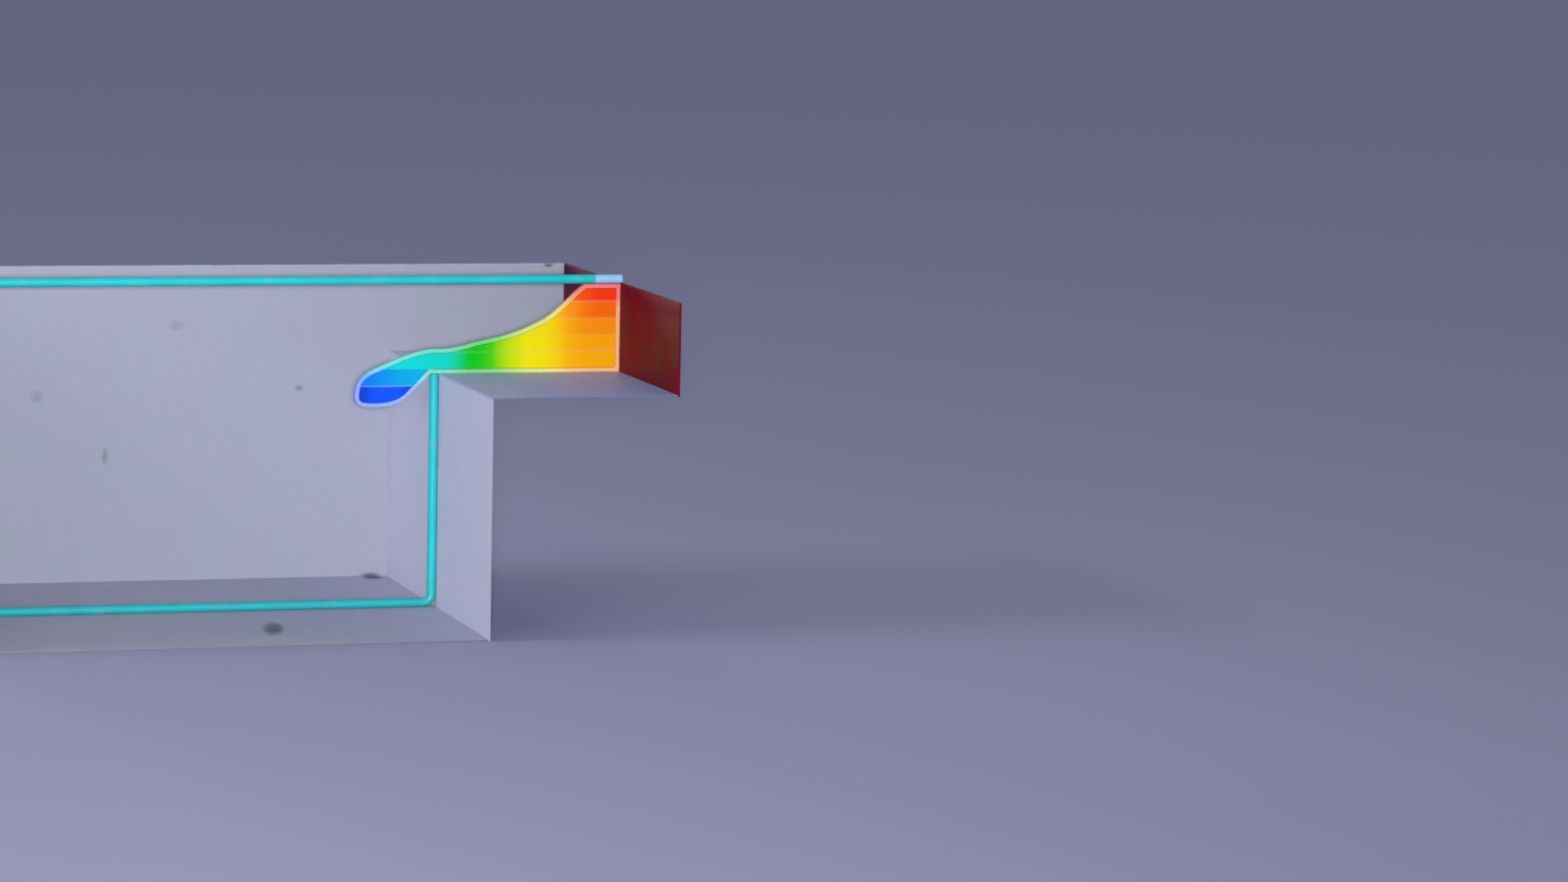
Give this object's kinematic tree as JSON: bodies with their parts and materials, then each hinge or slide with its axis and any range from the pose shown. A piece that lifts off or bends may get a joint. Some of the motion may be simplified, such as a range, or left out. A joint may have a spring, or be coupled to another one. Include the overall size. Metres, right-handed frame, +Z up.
{
  "type": "canal drop section model",
  "caption": "Bench model of a water channel dropping over a riser into a deep basin, with a rod outline and a coloured water profile.",
  "frame": {"origin": "under the middle of the whole model, on the surface it stands on", "axes": "+X along the model from the basin towards the inlet plate, +Y towards the back panel, +Z up"},
  "size_m": [0.699, 0.438, 0.33],
  "materials": {
    "panel_paint": "lavender-grey satin paint, faintly mottled",
    "dark_red_paint": "dark red satin paint",
    "cyan_enamel": "glossy cyan enamel",
    "pale_blue_enamel": "glossy pale blue enamel",
    "frosted_edging": "pale frosted plastic",
    "tinted_acrylic_blue": "tinted acrylic, deep blue",
    "tinted_acrylic_azure": "tinted acrylic, azure to turquoise",
    "tinted_acrylic_rainbow": "tinted acrylic, turquoise through green and yellow to orange",
    "tinted_acrylic_warm": "tinted acrylic, yellow to orange",
    "tinted_acrylic_red": "tinted acrylic, orange to red"
  },
  "bodies": {
    "root": {"back_panel": "panel_paint", "basin_floor": "panel_paint", "riser": "panel_paint", "sill_plate": "panel_paint", "left_end_panel": "panel_paint", "inlet_plate": "dark_red_paint", "outline_top_rod": "cyan_enamel", "outline_top_rod_end": "pale_blue_enamel", "outline_floor_rod": "cyan_enamel", "outline_riser_rod": "cyan_enamel", "outline_left_rod": "cyan_enamel", "edging_inlet": "frosted_edging", "edging_surface": "frosted_edging", "edging_underside": "frosted_edging", "edging_sill": "frosted_edging", "profile_strip_1": "tinted_acrylic_blue", "profile_strip_2": "tinted_acrylic_azure", "profile_strip_3": "tinted_acrylic_rainbow", "profile_strip_4": "tinted_acrylic_rainbow", "profile_strip_5": "tinted_acrylic_warm", "profile_strip_6": "tinted_acrylic_warm", "profile_strip_7": "tinted_acrylic_red"}
  },
  "joints": []
}
